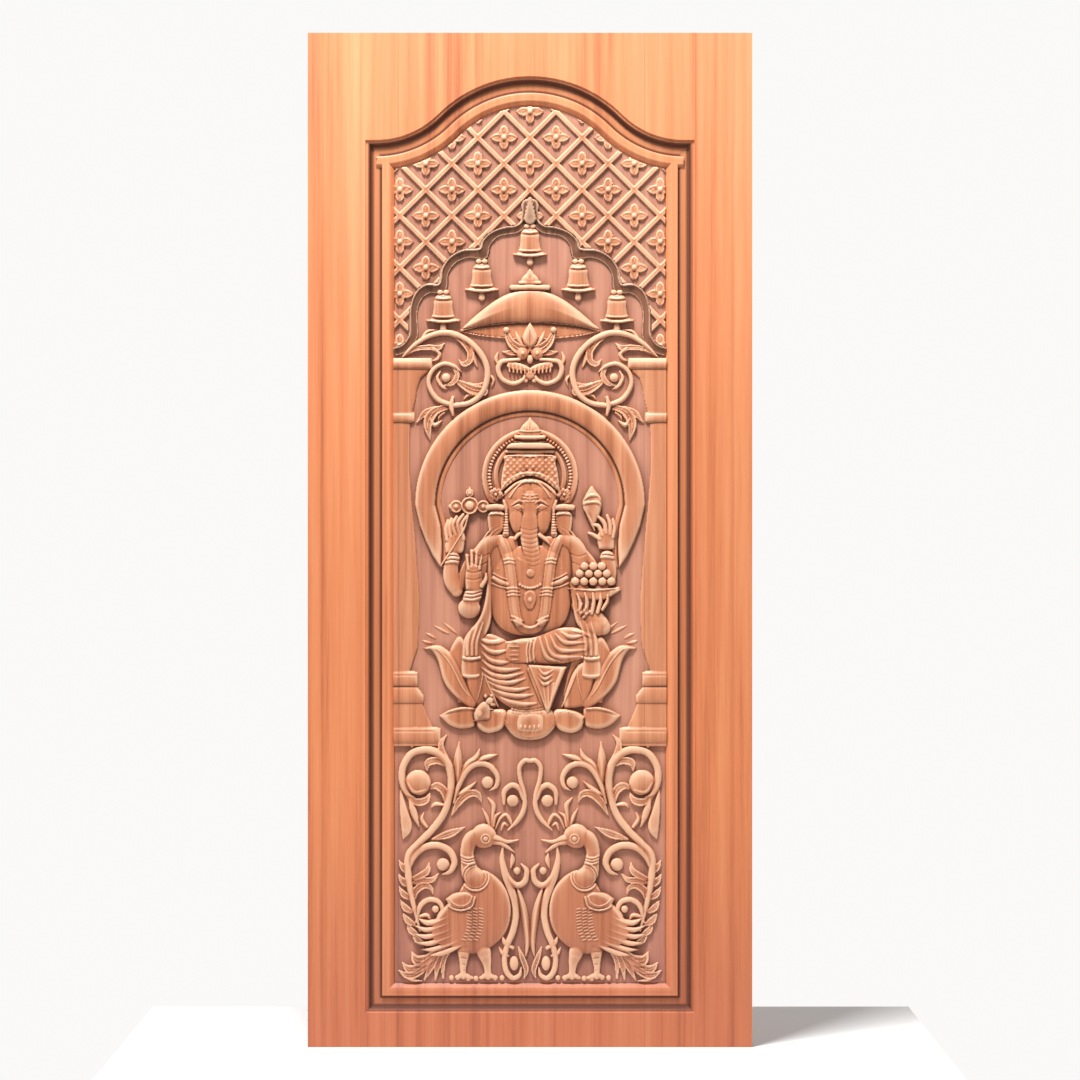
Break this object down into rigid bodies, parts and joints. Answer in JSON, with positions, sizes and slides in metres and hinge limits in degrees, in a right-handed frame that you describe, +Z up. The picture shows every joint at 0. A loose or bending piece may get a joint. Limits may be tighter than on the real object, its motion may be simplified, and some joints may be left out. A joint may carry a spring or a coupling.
{
  "type": "carved temple door leaf",
  "caption": "Carved wooden door leaf: boards with a plain border, a stepped arched moulding and a sunk panel of a seated figure under a cusped arch with birds and vines",
  "frame": {"origin": "Middle of the leaf's thickness and width, at its bottom edge", "axes": "+X across the leaf to the right as seen from the carved side, +Z up, +Y through the leaf away from the carved side, which looks towards -Y"},
  "size_m": [0.92, 0.04, 2.1],
  "materials": {
    "left_board": "satin, sealed, vertical grain",
    "middle_board": "satin, sealed, carved, dark in the hollows",
    "right_board": "satin, sealed, vertical grain"
  },
  "bodies": {
    "root": {"left_board": "left_board", "middle_board": "middle_board", "right_board": "right_board"}
  },
  "joints": []
}
